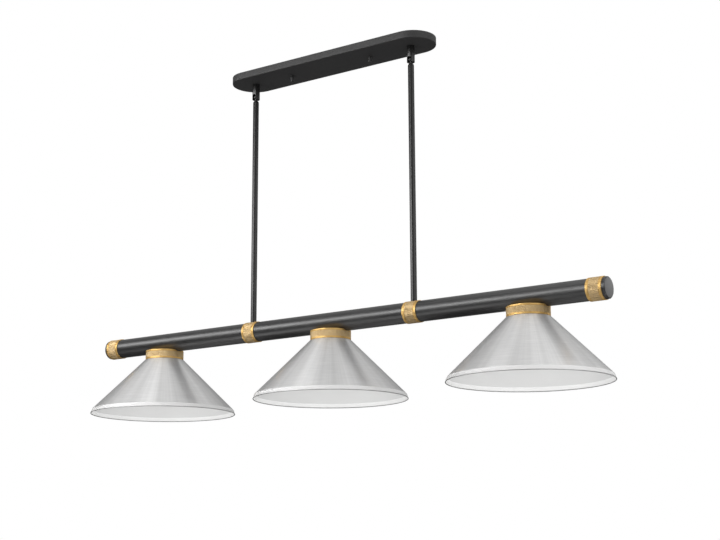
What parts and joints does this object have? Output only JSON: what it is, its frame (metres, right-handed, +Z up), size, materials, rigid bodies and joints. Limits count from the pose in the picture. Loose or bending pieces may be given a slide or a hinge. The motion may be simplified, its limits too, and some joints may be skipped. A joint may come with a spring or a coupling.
{
  "type": "billiard light",
  "caption": "Linear pendant light: a black bar on slim rods and swivels under a flat ceiling canopy, with brass rings and spun nickel cone shades that hold screw-base bulbs.",
  "frame": {"origin": "on the ceiling plane, at the middle of the canopy's open side", "axes": "+Z up towards the ceiling, +X along the bar, -Y towards the side that the picture looks from and that the swivel slots face"},
  "size_m": [1.3716, 0.349, 0.8046],
  "materials": {
    "black_paint": "matte black powder coat",
    "rubbed_brass": "knurled, rubbed brass",
    "brushed_nickel": "spun and brushed nickel, white inside",
    "zinc_steel": "zinc plated steel",
    "green_paint": "green ground screw",
    "porcelain": "glazed white socket body",
    "contact_brass": "plain brass",
    "lead_jacket": "black cable jacket",
    "splice_plastic": "moulded splice"
  },
  "bodies": {
    "canopy": {"canopy_pan": "black_paint", "ceiling_strap": "zinc_steel", "ground_screw": "green_paint", "strap_studs": "zinc_steel", "stud_nuts": "zinc_steel", "swivel_sleeve_left": "black_paint", "swivel_sleeve_right": "black_paint", "swivel_nipples": "zinc_steel", "swivel_washers": "zinc_steel", "swivel_nuts": "zinc_steel"},
    "hanging": {"swivel_ball_left": "black_paint", "swivel_ball_right": "black_paint", "downrod_left": "black_paint", "downrod_right": "black_paint", "bar_tube": "black_paint", "end_cap_left": "black_paint", "end_cap_right": "black_paint", "ring_left_end": "rubbed_brass", "ring_left_rod": "rubbed_brass", "ring_right_rod": "rubbed_brass", "ring_right_end": "rubbed_brass", "collar_left": "rubbed_brass", "collar_middle": "rubbed_brass", "collar_right": "rubbed_brass", "shade_left": "brushed_nickel", "shade_middle": "brushed_nickel", "shade_right": "brushed_nickel", "rod_nipples": "zinc_steel", "rod_saddle_washers": "zinc_steel", "rod_nuts": "zinc_steel", "lamp_nipples": "zinc_steel", "lamp_saddle_washers": "zinc_steel", "lamp_nuts": "zinc_steel", "shade_washers": "zinc_steel", "shade_nuts": "zinc_steel", "socket_body_left": "porcelain", "socket_body_middle": "porcelain", "socket_body_right": "porcelain", "screw_shell_left": "contact_brass", "screw_shell_middle": "contact_brass", "screw_shell_right": "contact_brass", "centre_contact_left": "contact_brass", "centre_contact_middle": "contact_brass", "centre_contact_right": "contact_brass", "lamp_lead_left": "lead_jacket", "lamp_lead_middle": "lead_jacket", "lamp_lead_right": "lead_jacket", "riser_lead": "lead_jacket", "splice_block": "splice_plastic"},
    "knob_left": {"canopy_knob_left": "black_paint"},
    "knob_right": {"canopy_knob_right": "black_paint"}
  },
  "joints": [
    {"name": "swing", "type": "hinge", "parent": "canopy", "child": "hanging", "pos_m": [0, 0, -0.049], "axis": [1, 0, 0], "range_deg": [-45, 8]},
    {"name": "knob_left_turn", "type": "hinge", "parent": "canopy", "child": "knob_left", "pos_m": [-0.113, 0, -0.025], "axis": [0, 0, 1], "continuous": true},
    {"name": "knob_right_turn", "type": "hinge", "parent": "canopy", "child": "knob_right", "pos_m": [0.113, 0, -0.025], "axis": [0, 0, 1], "continuous": true}
  ]
}
